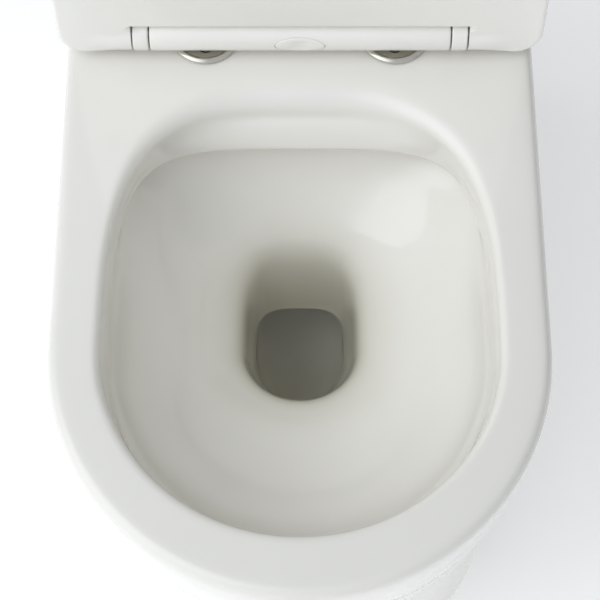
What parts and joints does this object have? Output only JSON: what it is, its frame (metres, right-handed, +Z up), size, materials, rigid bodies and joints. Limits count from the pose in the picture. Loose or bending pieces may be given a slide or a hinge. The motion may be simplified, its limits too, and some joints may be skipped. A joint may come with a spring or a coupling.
{
  "type": "close coupled toilet",
  "caption": "Rimless D-shaped close coupled toilet: shrouded pan with flush shroud and trap, slim seat and lid on a quick-release hinge bar, cistern with dual flush and fill valves.",
  "frame": {"origin": "on the floor, under the middle of the whole toilet in width and depth", "axes": "+Z up, -Y towards the user (the pan's front), +X to the right seen from the front"},
  "size_m": [0.379, 0.67, 0.8716],
  "materials": {
    "glazed_china": "gloss",
    "seat_plastic": "gloss",
    "white_plastic": "satin",
    "blue_plastic": "satin",
    "chrome": "polished",
    "steel": "satin",
    "rubber": "matte",
    "soft_buffer": "matte"
  },
  "bodies": {
    "pan_and_tank": {"pan": "glazed_china", "floor_bracket_left": "white_plastic", "floor_bracket_right": "white_plastic", "floor_screw_left": "steel", "floor_screw_right": "steel", "side_screw_left": "steel", "side_screw_right": "steel", "side_cap_left": "chrome", "side_cap_right": "chrome", "hinge_gasket_left": "rubber", "hinge_gasket_right": "rubber", "hinge_disc_left": "chrome", "hinge_disc_right": "chrome", "hinge_stud_left": "steel", "hinge_stud_right": "steel", "hinge_post_left": "chrome", "hinge_post_right": "chrome", "hinge_wing_nut_left": "white_plastic", "hinge_wing_nut_right": "white_plastic", "coupling_bolt_left": "steel", "coupling_bolt_right": "steel", "coupling_washer_left": "rubber", "coupling_washer_right": "rubber", "coupling_wing_nut_left": "white_plastic", "coupling_wing_nut_right": "white_plastic", "tank": "glazed_china", "doughnut_seal": "rubber", "flush_valve_body": "white_plastic", "flush_valve_nut": "white_plastic", "flush_valve_seal": "rubber", "fill_valve_body": "white_plastic", "fill_valve_nut": "white_plastic", "fill_valve_washer": "rubber"},
    "hinge_bar_body": {"hinge_bar": "seat_plastic", "hinge_damper_left": "steel", "hinge_damper_right": "steel"},
    "release_button": {"hinge_release_button": "seat_plastic"},
    "seat": {"seat_ring": "seat_plastic", "seat_buffer_front_left": "soft_buffer", "seat_buffer_front_right": "soft_buffer", "seat_buffer_rear_left": "soft_buffer", "seat_buffer_rear_right": "soft_buffer"},
    "lid": {"lid": "seat_plastic", "lid_buffer_left": "soft_buffer", "lid_buffer_right": "soft_buffer"},
    "tank_lid_body": {"tank_lid": "glazed_china", "button_bezel": "chrome", "button_nut": "white_plastic"},
    "full_button": {"full_flush_button": "chrome", "full_flush_rod": "white_plastic"},
    "half_button": {"half_flush_button": "chrome", "half_flush_rod": "white_plastic"},
    "plunger": {"flush_plunger": "blue_plastic"},
    "float": {"fill_valve_float": "blue_plastic"},
    "float_arm": {"fill_valve_arm": "white_plastic"}
  },
  "joints": [
    {"name": "seat_lift_off", "type": "slide", "parent": "pan_and_tank", "child": "hinge_bar_body", "axis": [0, 0, 1], "range_m": [0, 0.05]},
    {"name": "seat_release", "type": "slide", "parent": "hinge_bar_body", "child": "release_button", "axis": [0, 1, 0], "range_m": [0, 0.0035], "stiffness_N_per_m": 800, "springref_m": -0.001},
    {"name": "seat_hinge", "type": "hinge", "parent": "hinge_bar_body", "child": "seat", "pos_m": [0, 0.112, 0.425], "axis": [1, 0, 0], "range_deg": [0, 97]},
    {"name": "lid_hinge", "type": "hinge", "parent": "hinge_bar_body", "child": "lid", "pos_m": [0, 0.112, 0.425], "axis": [1, 0, 0], "range_deg": [0, 97]},
    {"name": "tank_lid_lift", "type": "slide", "parent": "pan_and_tank", "child": "tank_lid_body", "axis": [0, 0, 1], "range_m": [0, 0.06]},
    {"name": "full_flush_press", "type": "slide", "parent": "tank_lid_body", "child": "full_button", "axis": [0, 0, -1], "range_m": [0, 0.008], "stiffness_N_per_m": 600, "springref_m": -0.002},
    {"name": "half_flush_press", "type": "slide", "parent": "tank_lid_body", "child": "half_button", "axis": [0, 0, -1], "range_m": [0, 0.008], "stiffness_N_per_m": 600, "springref_m": -0.002},
    {"name": "plunger_lift", "type": "slide", "parent": "pan_and_tank", "child": "plunger", "axis": [0, 0, 1], "range_m": [0, 0.024]},
    {"name": "float_rise", "type": "slide", "parent": "pan_and_tank", "child": "float", "axis": [0, 0, 1], "range_m": [0, 0.025]},
    {"name": "float_arm_tilt", "type": "hinge", "parent": "pan_and_tank", "child": "float_arm", "pos_m": [-0.106, 0.266, 0.728], "axis": [0, 1, 0], "range_deg": [0, 27.6]}
  ],
  "couplings": [
    {"joint": "lid_hinge", "follows": "seat_hinge", "ratio": 1},
    {"joint": "plunger_lift", "follows": "full_flush_press", "ratio": 3},
    {"joint": "float_arm_tilt", "follows": "float_rise", "rad_per_m": 19.231}
  ]
}
